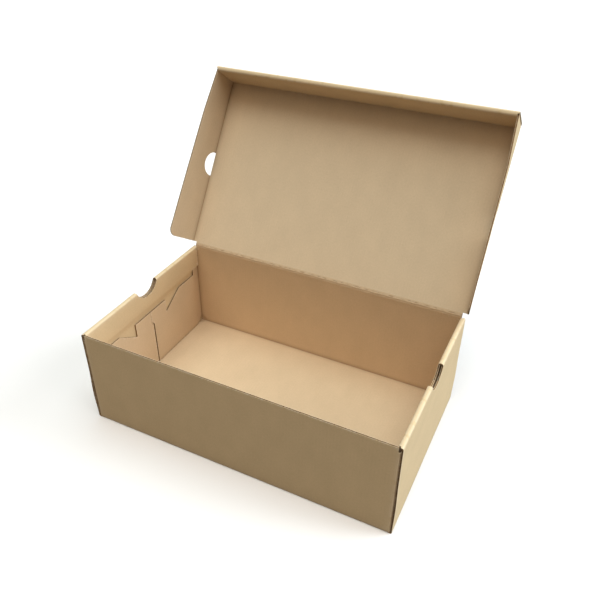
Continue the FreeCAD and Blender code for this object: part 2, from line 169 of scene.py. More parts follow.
LID_IN = HINGE_Y + HALF_WIDTH + LID_GAP
LID_OUT = LID_IN + DOUBLE_WALL
SIDE_FOLD = HALF_LENGTH + SIDE_GAP - FOLD_INNER
SIDE_OUT = SIDE_FOLD + FOLD_OUTER
FLAP_REACH = SIDE_DEPTH - BOARD / 2 - FOLD_INNER
FLAP_EDGE = SIDE_FOLD + FOLD_ARC + FLAP_REACH
EAR_FOLD = LID_IN + 2 * BOARD + PLY_GAP - FOLD_OUTER
FRONT_FOLD = LID_OUT - FOLD_OUTER
RIM_FOLD = FRONT_FOLD + FOLD_ARC + RIM_DEPTH - FOLD_OUTER - BOARD / 2 - FOLD_INNER
HEM_FOLD = RIM_FOLD + FOLD_ARC + DOUBLE_TOP
HEM_EDGE = HEM_FOLD + FOLD_ARC + RIM_DEPTH - FOLD_OUTER - BOARD / 2 - PLY_GAP


def wall_place(height):
    """Distance from the sheet's middle of a height on the front and rear walls."""
    return WALL_FOLD + FOLD_ARC + height - FOLD_OUTER


def end_place(height):
    """The same on the end walls."""
    return END_FOLD + FOLD_ARC + height - FOLD_OUTER


def strip_place(height):
    """The same on the folded-over strips."""
    return STRIP_START + HEIGHT - FOLD_OUTER - height


def flap_place(reach):
    """Place on the sheet of a corner flap's point, by its distance from the long wall's outer face."""
    return CORNER_FOLD + FOLD_ARC + reach - FOLD_OUTER


# Places on the corner flaps

FLAP_WALL = wall_place(HEIGHT - CORNER_DROP)
FLAP_SHOULDER = wall_place(HEIGHT - SHOULDER_DROP)
FLAP_TOP = wall_place(HEIGHT - FLAP_DROP)
FLAP_FOOT = wall_place(FOLD_OUTER)
HUMP_TOP = wall_place(HEIGHT - HUMP_DROP)
NOTCH_END = wall_place(HEIGHT - NOTCH_DROP)
SLIT_TURN = wall_place(HEIGHT - SLIT_DROP)
FLAP_CORNER = flap_place(CORNER_WIDTH)
FLAP_SIDE = flap_place(TONGUE_INSET - SHOULDER_GAP)
FLAP_MIDDLE = flap_place(HALF_WIDTH)


def arc_points(centre, radius, first, last, count):
    """Points on an arc, by angles in degrees."""
    angles = np.radians(np.linspace(first, last, count))
    return [(centre[0] + radius * math.cos(a), centre[1] + radius * math.sin(a)) for a in angles]


def flipped(points, across=1, along=1):
    """A path on the other side of a middle line, run the other way."""
    return [(across * x, along * v) for x, v in reversed(points)]


# Outlines of the sheets, counter-clockwise, and of their holes, clockwise


def front_flap_path():
    """Right-hand corner flap of the front wall, from the wall's top to its lower edge."""
    bend_x = FLAP_MIDDLE + SLIT_SHIFT - SLIT_BEND
    narrow = SLIT_BEND - SLIT_HALF
    return [
        (CORNER_FOLD, -FLAP_WALL),
        (FLAP_CORNER, -FLAP_WALL),
        (FLAP_CORNER, -FLAP_SHOULDER),
        (FLAP_SIDE, -FLAP_SHOULDER),
        (FLAP_SIDE, -FLAP_TOP),
        (FLAP_MIDDLE - HUMP_HALF - NOTCH_RUN, -FLAP_TOP),
        (FLAP_MIDDLE - HUMP_HALF - NOTCH_FLOOR, -NOTCH_END),
        (FLAP_MIDDLE - HUMP_HALF, -NOTCH_END),
        (FLAP_MIDDLE - HUMP_HALF, -HUMP_TOP),
        (bend_x - SEAM, -HUMP_TOP),
        (bend_x - SEAM, -SLIT_TURN - narrow),
        *arc_points((bend_x, -SLIT_TURN), narrow, -90, 0, SLIT_ARC),
        (FLAP_MIDDLE + SLIT_SHIFT - SLIT_HALF, -FLAP_FOOT),
        (CORNER_FOLD, -FLAP_FOOT),
        (CORNER_FOLD, -WALL_FOLD),
        (CORNER_FOLD + SLIT_GAP, -WALL_FOLD),
        (CORNER_FOLD + SLIT_GAP, -END_EDGE),
    ]


def rear_flap_path():
    """Right-hand corner flap of the rear wall, from its lower edge to the wall's top."""
    bend_x = FLAP_MIDDLE - SLIT_SHIFT + SLIT_BEND
    wide = SLIT_BEND + SLIT_HALF
    return [
        (CORNER_FOLD + SLIT_GAP, END_EDGE),
        (CORNER_FOLD + SLIT_GAP, WALL_FOLD),
        (CORNER_FOLD, WALL_FOLD),
        (CORNER_FOLD, FLAP_FOOT),
        (FLAP_MIDDLE - SLIT_SHIFT - SLIT_HALF, FLAP_FOOT),
        *arc_points((bend_x, SLIT_TURN), wide, 180, 90, SLIT_ARC),
        (bend_x, HUMP_TOP),
        (FLAP_MIDDLE - HUMP_HALF, HUMP_TOP),
        (FLAP_MIDDLE - HUMP_HALF, NOTCH_END),
        (FLAP_MIDDLE - HUMP_HALF - NOTCH_FLOOR, NOTCH_END),
        (FLAP_MIDDLE - HUMP_HALF - NOTCH_RUN, FLAP_TOP),
        (FLAP_SIDE, FLAP_TOP),
        (FLAP_SIDE, FLAP_SHOULDER),
        (FLAP_CORNER, FLAP_SHOULDER),
        (FLAP_CORNER, FLAP_WALL),
        (CORNER_FOLD, FLAP_WALL),
    ]


def end_wall_path():
    """Right-hand end wall with its strip and tongue, from front to rear."""
    turn = TOP_FOLD + FOLD_ARC + DOUBLE_TOP / 2
    strip_edge = HALF_WIDTH - BOARD - STRIP_END_GAP
    tongue_edge = HALF_WIDTH - TONGUE_INSET
    front = [
        (turn, -END_EDGE),
        (turn, -strip_edge),
        (strip_place(HEIGHT - STRIP_DROP), -strip_edge),
        (strip_place(HEIGHT - STRIP_DROP), -tongue_edge),
        (strip_place(HEIGHT - TONGUE_DEPTH), -tongue_edge),
    ]
    return front + flipped(front, along=-1)


def tray_outline():
    """Cut outline of the tray's sheet."""
    front = wall_place(HEIGHT - FRONT_DROP)
    rear = wall_place(HINGE_Z - CREASE_REACH)
    right = [
        (CORNER_FOLD, -front),
        *front_flap_path(),
        *end_wall_path(),
        *rear_flap_path(),
        (CORNER_FOLD, rear),
    ]
    return right + flipped(right, across=-1)


def finger_hole(side):
    """Finger notch through the end wall's fold, on the flat sheet."""
    radius = (FINGER_WIDTH**2 / 4 + FINGER_DEPTH**2) / (2 * FINGER_DEPTH)
    rise = radius - FINGER_DEPTH
    wide = math.degrees(math.acos((rise + FOLD_OUTER) / radius))
    panel = (end_place(HEIGHT + rise), 0.0)
    strip = (strip_place(HEIGHT + rise), 0.0)
    turn = TOP_FOLD + FOLD_ARC + DOUBLE_TOP / 2
    loop = [
        *arc_points(panel, radius, 180 + wide, 180 - wide, FINGER_ARC),
        (turn, FINGER_WIDTH / 2),
        *arc_points(strip, radius, wide, -wide, FINGER_ARC),
        (turn, -FINGER_WIDTH / 2),
    ]
    return loop if side > 0 else flipped(loop, across=-1)


def lid_outline():
    """Cut outline of the lid's sheet."""
    ear_start = SIDE_FOLD + FOLD_ARC + PLY_GAP
    ear_end = EAR_FOLD + FOLD_ARC + EAR_LENGTH - FOLD_OUTER
    hem_side = SIDE_OUT - BOARD - PLY_GAP
    turn = RIM_FOLD + FOLD_ARC + DOUBLE_TOP / 2
    corner = (FLAP_EDGE - SIDE_CORNER, SIDE_SETBACK + SIDE_CORNER)
    tab = HEM_EDGE + BOARD + PLY_GAP
    right = [
        (CORNER_FOLD, CREASE_REACH),
        (CORNER_FOLD, SIDE_SETBACK),
        *arc_points(corner, SIDE_CORNER, -90, 0, SIDE_CORNER_ARC),
        (FLAP_EDGE, ear_end),
        (ear_start, ear_end),
        (ear_start, EAR_FOLD),
        (SIDE_FOLD, EAR_FOLD),
        (SIDE_FOLD, FRONT_FOLD - SLIT_GAP),
        (SIDE_OUT, FRONT_FOLD - SLIT_GAP),
        (SIDE_OUT, turn),
        (hem_side, turn),
        (hem_side, HEM_EDGE),
        (TAB_PLACE + TAB_HALF, HEM_EDGE),
        (TAB_PLACE + TAB_HALF, tab),
        (TAB_PLACE - TAB_HALF, tab),
        (TAB_PLACE - TAB_HALF, HEM_EDGE),
    ]
    return right + flipped(right, across=-1)


def side_hole(side):
    """Half-round hole on a side flap's fold."""
    start = SIDE_FOLD + SLIT_GAP
    middle = SIDE_FOLD + FOLD_ARC - FOLD_INNER
    loop = [
        (start, HINGE_Y - HOLE_RADIUS),
        (start, HINGE_Y + HOLE_RADIUS),
        *arc_points((middle, HINGE_Y), HOLE_RADIUS, 90, -90, HOLE_ARC),
    ]
    return loop if side > 0 else flipped(loop, across=-1)


def tab_slot(side):
    """Slot that a locking tab stands in."""
    left = side * TAB_PLACE - TAB_HALF - TAB_SLOT
    right = side * TAB_PLACE + TAB_HALF + TAB_SLOT
    low = LID_IN - TAB_SLOT
    high = LID_IN + BOARD + TAB_SLOT
    return [(left, low), (left, high), (right, high), (right, low)]


# Lines that divide the sheets finely at the folds and evenly elsewhere


def even(first, last, step=CELL):
    """Evenly spaced values that include both ends."""
    return np.linspace(first, last, max(2, math.ceil(abs(last - first) / step) + 1))


def fold_stops(*starts):
    """Values across folds that start at the given places."""
    return np.concatenate([np.linspace(s, s + FOLD_ARC, FOLD_STEPS + 1) for s in starts])


def grid_lines(across, along):
    """Lines of a grid."""
    upright = [((x, along[0]), (x, along[-1])) for x in across]
    level = [((across[0], v), (across[-1], v)) for v in along]
    return upright + level


def tray_lines():
    """Dividing lines of the tray's sheet."""
    wall_top = wall_place(HEIGHT)
    walls = np.concatenate([fold_stops(WALL_FOLD), even(WALL_FOLD + FOLD_ARC, wall_top)])
    jog = CORNER_FOLD + FOLD_ARC - FOLD_OUTER + JOG_START
    flaps = np.concatenate([
        fold_stops(CORNER_FOLD),
        even(jog, jog + JOG_WIDTH, FINE_CELL),
        even(jog + JOG_WIDTH, flap_place(HALF_WIDTH + SLIT_SHIFT)),
    ])
    crease = strip_place(HEIGHT - STRIP_DROP)
    ends = np.concatenate([
        fold_stops(END_FOLD, TOP_FOLD, STRIP_FOLD),
        even(END_FOLD + FOLD_ARC, TOP_FOLD),
        even(STRIP_START, crease),
        even(crease, crease + TONGUE_SLOPE, FINE_CELL),
        even(crease + TONGUE_SLOPE, strip_place(HEIGHT - TONGUE_DEPTH)),
    ])
    lines = grid_lines(even(-END_FOLD, END_FOLD), even(-WALL_FOLD, WALL_FOLD))
    for side in (-1, 1):
        lines += grid_lines(even(-CORNER_FOLD, CORNER_FOLD), side * walls)
        lines += grid_lines(side * np.sort(ends), even(-END_EDGE, END_EDGE))
        for end in (-1, 1):
            lines += grid_lines(end * np.sort(flaps), side * walls[FOLD_STEPS:])
    return lines


def lid_lines():
    """Dividing lines of the lid's sheet."""
    panel = even(CREASE_REACH, EAR_FOLD)
    hem = np.sort(np.concatenate([
        fold_stops(FRONT_FOLD, RIM_FOLD, HEM_FOLD),
        even(FRONT_FOLD + FOLD_ARC, RIM_FOLD),
        even(HEM_FOLD + FOLD_ARC, HEM_EDGE),
    ]))
    flaps = np.concatenate([fold_stops(SIDE_FOLD), even(SIDE_FOLD + FOLD_ARC, FLAP_EDGE)])
    ears = np.concatenate([
        fold_stops(EAR_FOLD),
        even(EAR_FOLD + FOLD_ARC, EAR_FOLD + FOLD_ARC + EAR_LENGTH - FOLD_OUTER),
    ])
    lines = grid_lines(even(-SIDE_FOLD, SIDE_FOLD), panel)
    lines += grid_lines(even(-SIDE_OUT, SIDE_OUT), hem)
    for side in (-1, 1):
        lines += grid_lines(side * flaps, panel)
        lines += grid_lines(side * flaps, ears)
    return lines


def inside(points, loops):
    """Which points lie within the outline and outside the holes."""
    crossings = np.zeros(len(points), int)
    for loop in loops:
        start = np.array(loop)
        end = np.roll(start, -1, axis=0)
        for (x0, v0), (x1, v1) in zip(start, end):
            if v0 == v1:
                continue
            spans = (points[:, 1] > min(v0, v1)) & (points[:, 1] <= max(v0, v1))
            cross = x0 + (points[:, 1] - v0) * (x1 - x0) / (v1 - v0)
            crossings += spans & (cross > points[:, 0])
    return crossings % 2 == 1


def cut_sheet(loops, lines):
    """Flat triangles of a die-cut sheet."""
    points = []
    edges = []
    for loop in loops:
        first = len(points)
        points += [Vector(p) for p in loop]
        edges += [(first + i, first + (i + 1) % len(loop)) for i in range(len(loop))]
    for start, end in lines:
        edges.append((len(points), len(points) + 1))
        points += [Vector(start), Vector(end)]
    result = delaunay_2d_cdt(points, edges, [], 0, SAME_POINT)
    flat = np.array([tuple(p) for p in result[0]])
    faces = np.array(result[2])
    faces = faces[inside(flat[faces].mean(axis=1), loops)]
    a, b, c = (flat[faces[:, i]] for i in range(3))
    area = (b[:, 0] - a[:, 0]) * (c[:, 1] - a[:, 1]) - (b[:, 1] - a[:, 1]) * (c[:, 0] - a[:, 0])
    faces[area < 0] = faces[area < 0][:, ::-1]
    used, faces = np.unique(faces[np.abs(area) > NO_AREA], return_inverse=True)
    return flat[used], faces.reshape(-1, 3)


def rim_edges(faces):
    """Edges on the outline, each with the sheet on its left."""
    edges = np.concatenate([faces[:, [0, 1]], faces[:, [1, 2]], faces[:, [2, 0]]])
    known = set(map(tuple, edges))
    return np.array([edge for edge in map(tuple, edges) if edge[::-1] not in known])


# Bending the flat sheet


def eased(value):
    """Smooth step from 0 to 1."""
    value = np.clip(value, 0, 1)
    return value * value * (3 - 2 * value)


def fold(points, flat, direction, start, angle, where):
    """Bends what lies past a line towards the inner side, round the fold's centre."""
    place = flat @ direction
    past = where & (place > start)
    turn = angle * np.clip((place - start) / FOLD_ARC, 0, 1)
    reach = np.where(place > start + FOLD_ARC, points @ direction - start - FOLD_ARC, 0)
    rise = points[:, 2] - FOLD_OUTER
    level = start + reach * np.cos(turn) - rise * np.sin(turn)
    upright = FOLD_OUTER + reach * np.sin(turn) + rise * np.cos(turn)
    bent = points - np.outer(points @ direction, direction) + np.outer(level, direction)
    bent[:, 2] = upright
    return np.where(past[:, None], bent, points)


def bend_tray(flat):
    """Folds the tray's sheet up."""
    points = flat.copy()
    x, v = np.abs(flat[:, 0]), np.abs(flat[:, 1])
    in_end = (x > END_FOLD) & (v < END_EDGE + SLIT_GAP / 2)
    in_wall = (v > WALL_FOLD) & ((x < CORNER_FOLD + SLIT_GAP / 2) | ~(v < END_EDGE + SLIT_GAP / 2))
    in_flap = in_wall & (x > CORNER_FOLD)
    slope = (x - strip_place(HEIGHT - STRIP_DROP)) / TONGUE_SLOPE
    points[:, 2] += np.where(in_end, (BOARD + PLY_GAP) * np.clip(slope, 0, 1), 0)
    jog = (x - flap_place(JOG_START)) / JOG_WIDTH
    points[:, 2] += np.where(in_flap, (BOARD + PLY_GAP) * np.clip(jog, 0, 1), 0)
    points[:, 2] -= np.where(in_end, end_bow(flat), 0)
    for side in (-1, 1):
        for start in (STRIP_FOLD, TOP_FOLD, END_FOLD):
            points = fold(points, flat, side * ACROSS, start, math.pi / 2, in_end)
        points = fold(points, flat, side * ACROSS, CORNER_FOLD, math.pi / 2, in_flap)
    for side in (-1, 1):
        points = fold(points, flat, side * ALONG, WALL_FOLD, math.pi / 2, in_wall)
    return points


def end_bow(flat):
    """How far the outer layer of each end wall stands out, below where the lid comes."""
    share = np.clip((np.abs(flat[:, 0]) - END_FOLD - FOLD_ARC) / (TOP_FOLD - END_FOLD - FOLD_ARC), 0, 1)
    amount = np.where(flat[:, 0] < 0, *END_BOW)
    return amount * np.sin(math.pi * np.clip(share / BOW_TOP, 0, 1)) ** 2


def splay(flat):
    """How far the side flaps open outward, in radians."""
    middle = np.where(flat[:, 0] < 0, LEFT_SPLAY[0], RIGHT_SPLAY[0])
    rear = np.where(flat[:, 0] < 0, LEFT_SPLAY[1], RIGHT_SPLAY[1])
    front_share = np.clip((EAR_FOLD - flat[:, 1]) / (EAR_FOLD - SPLAY_PLACE), 0, 1)
    rear_share = np.clip((SPLAY_PLACE - flat[:, 1]) / (SPLAY_PLACE - SIDE_SETBACK), 0, 1)
    return np.radians(middle * front_share + (rear - middle) * rear_share)


def bend_lid(flat):
    """Folds the lid's sheet and places it open on the tray."""
    points = flat.copy()
    x, v = np.abs(flat[:, 0]), flat[:, 1]
    in_ear = (x > SIDE_OUT + SLIT_GAP / 2) & (v > EAR_FOLD)
    in_side = (x > SIDE_FOLD) & ((v < EAR_FOLD + SLIT_GAP / 2) | in_ear)
    in_hem = (v > FRONT_FOLD) & ~in_ear
    points = fold(points, flat, ALONG, EAR_FOLD, math.pi / 2, in_ear)
    for side in (-1, 1):
        points = fold(points, flat, side * ACROSS, SIDE_FOLD, math.pi / 2 - splay(flat), in_side)
    for start in (HEM_FOLD, RIM_FOLD, FRONT_FOLD):
        points = fold(points, flat, ALONG, start, math.pi / 2, in_hem)
    return open_lid(points)


def open_lid(points):
    """Turns the lid from its sheet's frame to where it stands open."""
    y = -points[:, 1]
    z = BOARD / 2 - points[:, 2]
    cos, sin = math.cos(LID_OPEN), math.sin(LID_OPEN)
    return np.column_stack((points[:, 0], HINGE_Y + y * cos + z * sin, HINGE_Z - y * sin + z * cos))


# Solid layers of the board, as points of the flat sheet, faces and the paper that each face shows

# CUT_EDGE faces take the cut paper's darker brown, which is partly painted shade inside the board's open
# edge.
OUTER_PAPER, INNER_PAPER, CUT_EDGE = range(3)


def liner(flat, faces, low, high, paper_low, paper_high, paper_rim):
    """One closed sheet of paper between two depths of the board."""
    count = len(flat)
    points = np.concatenate([np.column_stack((flat, np.full(count, n))) for n in (low, high)])
    start, end = rim_edges(faces).T
    rim = np.column_stack((start, end, end + count, start + count))
    solid = [*faces[:, ::-1].tolist(), *(faces + count).tolist(), *rim.tolist()]
    papers = [paper_low] * len(faces) + [paper_high] * len(faces) + [paper_rim] * len(rim)
    return points, solid, papers


def core(flat, faces):
    """Closed ring between the two liners, a little inside the cut edge, in the darker cut-edge finish,
    partly painted shade of the recess.
    """
    edges = rim_edges(faces)
    used, edges = np.unique(edges, return_inverse=True)
    edges = edges.reshape(-1, 2)
    run = flat[used[edges[:, 1]]] - flat[used[edges[:, 0]]]
    run /= np.linalg.norm(run, axis=1)[:, None]
    outward = np.column_stack((run[:, 1], -run[:, 0]))
    recess = np.where(np.abs(run[:, 1]) > ALONG_SHARE, CORE_RECESS, OPEN_RECESS)
    push = np.zeros((len(used), 2))
    depth = np.full(len(used), OPEN_RECESS)
    for end in (0, 1):
        np.add.at(push, edges[:, end], outward)
        np.minimum.at(depth, edges[:, end], recess)
    push /= np.maximum(np.linalg.norm(push, axis=1), LEAST_PUSH)[:, None]
    rings = []
    for inset in (depth, depth + CORE_WALL):
        place = flat[used] - push * inset[:, None]
        for n in (LINER, BOARD - LINER):
            rings.append(np.column_stack((place, np.full(len(used), n))))
    count = len(used)
    start, end = edges.T
    solid = []
    for one, two in ((0, 1), (1, 3), (3, 2), (2, 0)):
        here, there = one * count, two * count
        solid += np.column_stack((start + here, end + here, end + there, start + there)).tolist()
    return np.concatenate(rings), solid, [CUT_EDGE] * len(solid)


def add_mesh(name, points, faces, papers, flat, materials, marks):
    """Mesh object with the flat sheet's coordinates as its board map."""
    mesh = bpy.data.meshes.new(name)
    mesh.from_pydata((points * MM).tolist(), [], faces)
    for material in materials:
        mesh.materials.append(material)
    mesh.polygons.foreach_set("material_index", papers)
    loops = np.zeros(len(mesh.loops), int)
    mesh.loops.foreach_get("vertex_index", loops)
    board = mesh.uv_layers.new(name="board")
    board.data.foreach_set("uv", (flat[loops, :2] * MM).astype(np.float32).ravel())
    for label, values in (("fold", marks[0]), ("rim", marks[1])):
        mesh.attributes.new(label, "FLOAT", "POINT").data.foreach_set("value", values)
    mesh.shade_smooth()
    mesh.set_sharp_from_angle(angle=math.radians(SHARP_ANGLE))
    piece = bpy.data.objects.new(name, mesh)
    bpy.context.scene.collection.objects.link(piece)
    return piece


def fold_marks(flat, across, along):
    """How near each point is to the middle of a fold, from 0 to 1."""
    near = np.zeros(len(flat))
    for column, starts in ((0, across), (1, along)):
        for start in starts:
            off = np.abs(np.abs(flat[:, column]) - start - FOLD_ARC / 2) / (FOLD_ARC / 2)
            near = np.maximum(near, np.clip(1 - FOLD_FADE * off, 0, 1))
    return near


def make_sheet(name, loops, lines, bend, materials, folds):
    """Whole folded sheet of board: two liners and what closes them at the cut edges."""
    flat, faces = cut_sheet(loops, lines)
    parts = [
        # The liners' faces towards the core take the cut-edge finish: darker paper with painted shade
        # inside the open edge.
        liner(flat, faces, 0, LINER, OUTER_PAPER, CUT_EDGE, OUTER_PAPER),
        liner(flat, faces, BOARD - LINER, BOARD, CUT_EDGE, INNER_PAPER, INNER_PAPER),
        core(flat, faces),
    ]
    points = np.concatenate([part[0] for part in parts])
    solid = []
    papers = []
    first = 0
    for part_points, part_faces, part_papers in parts:
        solid += [[first + i for i in face] for face in part_faces]
        papers += part_papers
        first += len(part_points)
    rim = np.zeros(len(flat))
    rim[np.unique(rim_edges(faces))] = 1
    rim = np.concatenate((rim, rim, rim, rim, np.ones(len(points) - 4 * len(flat))))
    marks = (fold_marks(points, *folds), rim)
    return add_mesh(name, bend(points), solid, papers, points, materials, marks)


# Node trees


def add_node(tree, kind, values=None, **settings):
    """New node with its settings, and its inputs linked or set."""
    node = tree.nodes.new(kind)
    for name, value in settings.items():
        setattr(node, name, value)
    for key, value in (values or {}).items():
        if isinstance(value, bpy.types.NodeSocket):
            tree.links.new(value, node.inputs[key])
        else:
            node.inputs[key].default_value = value
    return node


def math_node(tree, operation, *values):
    """Output of one sum."""
    return add_node(tree, "ShaderNodeMath", dict(enumerate(values)), operation=operation).outputs[0]


# Fluting at the open edges


def flute_runs(loops):
    """Stretches of the outlines that cut across the flutes, with the side that the sheet lies on."""
    runs = []
    for loop in loops:
        count = len(loop)
        for i in range(count):
            start, end = np.array(loop[i]), np.array(loop[(i + 1) % count])
            run = end - start
            if abs(run[1]) > ALONG_SHARE * np.linalg.norm(run):
                continue
            side = 1 if run[0] > 0 else -1
            last = runs[-1] if runs else None
            if last and last[1] == side and np.allclose(last[0][-1], start):
                last[0].append(tuple(end))
            else:
                runs.append(([tuple(start), tuple(end)], side))
    return runs


def flute_tree():
    """Geometry nodes that draw corrugated paper along the open edges of a flat sheet."""
    tree = bpy.data.node_groups.new("flutes", "GeometryNodeTree")
    tree.interface.new_socket("Edges", in_out="INPUT", socket_type="NodeSocketGeometry")
    for name in ("Pitch", "Sample", "Low", "High", "Recess", "Depth", "Paper"):
        tree.interface.new_socket(name, in_out="INPUT", socket_type="NodeSocketFloat")
    tree.interface.new_socket("Finish", in_out="INPUT", socket_type="NodeSocketMaterial")
    tree.interface.new_socket("Flutes", in_out="OUTPUT", socket_type="NodeSocketGeometry")
    given = add_node(tree, "NodeGroupInput").outputs
    side = add_node(tree, "GeometryNodeInputNamedAttribute", {"Name": "side"}, data_type="FLOAT")
    path = add_node(tree, "GeometryNodeMeshToCurve", {"Mesh": given["Edges"]})
    even_path = add_node(tree, "GeometryNodeResampleCurve", {"Curve": path.outputs[0]}, mode="LENGTH")
    tree.links.new(given["Sample"], even_path.inputs["Length"])
    line = add_node(tree, "GeometryNodeCurveToMesh", {"Curve": even_path.outputs[0]})
    place = add_node(tree, "GeometryNodeInputPosition")
    parts = add_node(tree, "ShaderNodeSeparateXYZ", {0: place.outputs[0]})
    turns = math_node(tree, "DIVIDE", parts.outputs["X"], given["Pitch"])
    wave = math_node(tree, "SINE", math_node(tree, "MULTIPLY", turns, 2 * math.pi))
    height = add_node(tree, "ShaderNodeMapRange", {
        "Value": wave,
        "From Min": -1.0,
        "From Max": 1.0,
        "To Min": given["Low"],
        "To Max": given["High"],
    })
    inset = math_node(tree, "MULTIPLY", side.outputs[0], given["Recess"])
    lift = add_node(tree, "ShaderNodeCombineXYZ", {"Y": inset, "Z": height.outputs[0]})
    wavy = add_node(tree, "GeometryNodeSetPosition", {
        "Geometry": line.outputs[0],
        "Offset": lift.outputs[0],
    })
    inward = add_node(tree, "ShaderNodeCombineXYZ", {"Y": side.outputs[0]})
    ribbon = add_node(tree, "GeometryNodeExtrudeMesh", {"Mesh": wavy.outputs[0]}, mode="EDGES")
    tree.links.new(inward.outputs[0], ribbon.inputs["Offset"])
    tree.links.new(given["Depth"], ribbon.inputs["Offset Scale"])
    thick = add_node(tree, "GeometryNodeExtrudeMesh", {"Mesh": ribbon.outputs[0]}, mode="FACES")
    thick.inputs["Individual"].default_value = False
    tree.links.new(given["Paper"], thick.inputs["Offset Scale"])
    back = add_node(tree, "GeometryNodeFlipFaces", {"Mesh": ribbon.outputs[0]})
    both = add_node(tree, "GeometryNodeJoinGeometry")
    tree.links.new(thick.outputs[0], both.inputs[0])
    tree.links.new(back.outputs[0], both.inputs[0])
    closed = add_node(tree, "GeometryNodeMergeByDistance", {
        "Geometry": both.outputs[0],
        "Distance": FLUTE_MERGE,
    })
    real = add_node(tree, "GeometryNodeRealizeInstances", {"Geometry": closed.outputs[0]})
    finished = add_node(tree, "GeometryNodeSetMaterial", {
        "Geometry": real.outputs[0],
        "Material": given["Finish"],
    })
    add_node(tree, "NodeGroupOutput", {"Flutes": finished.outputs[0]})
    return tree


def make_flutes(name, loops, bend, tree, material):
    """Corrugated middle layer where the flutes end at a cut edge."""
    points = []
    edges = []
    sides = []
    for run, side in flute_runs(loops):
        first = len(points)
        points += [(x, v, 0.0) for x, v in run]
        edges += [(first + i, first + i + 1) for i in range(len(run) - 1)]
        sides += [side] * len(run)
    source = bpy.data.meshes.new(name + "_edges")
    source.from_pydata(points, edges, [])
    source.attributes.new("side", "FLOAT", "POINT").data.foreach_set("value", sides)
    drawn = bpy.data.objects.new(name + "_edges", source)
    bpy.context.scene.collection.objects.link(drawn)
    modifier = drawn.modifiers.new("flutes", "NODES")
    modifier.node_group = tree
    values = {
        "Pitch": FLUTE_PITCH,
        "Sample": FLUTE_PITCH / FLUTE_SAMPLES,
        "Low": LINER,
        "High": BOARD - LINER - FLUTE_PAPER,
        "Recess": EDGE_RECESS,
        "Depth": FLUTE_DEPTH,
        "Paper": FLUTE_PAPER,
        "Finish": material,
    }
    for socket in tree.interface.items_tree:
        if socket.name in values:
            modifier[socket.identifier] = values[socket.name]
    evaluated = drawn.evaluated_get(bpy.context.evaluated_depsgraph_get())
    ribbon = bpy.data.meshes.new_from_object(evaluated)
    flat = np.zeros(len(ribbon.vertices) * 3)
    ribbon.vertices.foreach_get("co", flat)
    flat = flat.reshape(-1, 3)
    faces = [list(face.vertices) for face in ribbon.polygons]
    bpy.data.objects.remove(drawn)
    bpy.data.meshes.remove(source)
    bpy.data.meshes.remove(ribbon)
    marks = (np.zeros(len(flat)), np.zeros(len(flat)))
    return add_mesh(name, bend(flat), faces, [0] * len(faces), flat, [material], marks)


# Hinge crease

CREASE_SPAN = 3.4
CREASE_PROUD = 0.06
CREASE_THIN = 0.5
CREASE_ROWS = 17
CREASE_CELL = 1.0
CREASE_FADE = 0.8
PINCH_WIDTH = 1.1
RIPPLE_LENGTHS = (7.0, 9.5, 13.0, 21.0)
DENT_PLACE, DENT_SWAY, DENT_WIDTH, DENT_DEPTH, DENT_COVER = 1.7, 0.35, 0.45, 0.32, 0.6
BAND_PLACE, BAND_SWAY, BAND_WIDTH, BAND_HEIGHT = 0.5, 0.5, 0.8, 0.22
RIDGE_PLACE, RIDGE_SWAY, RIDGE_WIDTH, RIDGE_HEIGHT, RIDGE_COVER = -1.6, 0.3, 0.5, 0.16, 0.7
# Brown line and band of the hinge crease: crushed paper, partly painted shade in the dent and the pinch.
BROWN_LINE_WIDTH, BROWN_LINE_COVER, BROWN_LINE_CHANGE = 0.6, 0.75, 0.6
BROWN_BAND_PLACE, BROWN_BAND_SWAY, BROWN_BAND_WIDTH, BROWN_BAND_TONE = 0.2, 0.3, 1.3, 0.62
DENT_SEED, DENT_COVER_SEED, BAND_SEED, BAND_COVER_SEED, RIDGE_SEED, RIDGE_COVER_SEED = range(1, 7)


def ripple(x, seed):
    """Uneven wave along the crease, from -1 to 1."""
    chance = np.random.default_rng(seed)
    total = np.zeros_like(x)
    for length in RIPPLE_LENGTHS:
        total += np.sin(2 * math.pi * x / length + chance.uniform(0, 2 * math.pi))
    return total / len(RIPPLE_LENGTHS)


def bump_at(place, middle, width):
    """Rounded ridge of height 1."""
    return np.exp(-(((place - middle) / width) ** 2))


def dent_place(x):
    """Where the dent under the lid runs, along the crease."""
    return DENT_PLACE + DENT_SWAY * ripple(x, DENT_SEED)


def crease_section(x, place):
    """Depth of the crease's inner face from its middle: dent under the lid, band, ridge on the wall."""
    full = BOARD / 2 + CREASE_PROUD
    pinch = bump_at(place, 0.0, PINCH_WIDTH) * (full - CREASE_THIN)
    dent_cover = np.clip(DENT_COVER + ripple(x, DENT_COVER_SEED), 0, 1)
    dent = bump_at(place, dent_place(x), DENT_WIDTH) * DENT_DEPTH * dent_cover
    band_place = BAND_PLACE + BAND_SWAY * ripple(x, BAND_SEED)
    band = bump_at(place, band_place, BAND_WIDTH) * BAND_HEIGHT * (1 + ripple(x, BAND_COVER_SEED))
    ridge_place = RIDGE_PLACE + RIDGE_SWAY * ripple(x, RIDGE_SEED)
    ridge_cover = np.clip(RIDGE_COVER + ripple(x, RIDGE_COVER_SEED), 0, 1)
    ridge = bump_at(place, ridge_place, RIDGE_WIDTH) * RIDGE_HEIGHT * ridge_cover
    fade = np.clip((CREASE_SPAN - np.abs(place)) / CREASE_FADE, 0, 1)
    return full - pinch + (band + ridge - dent) * fade


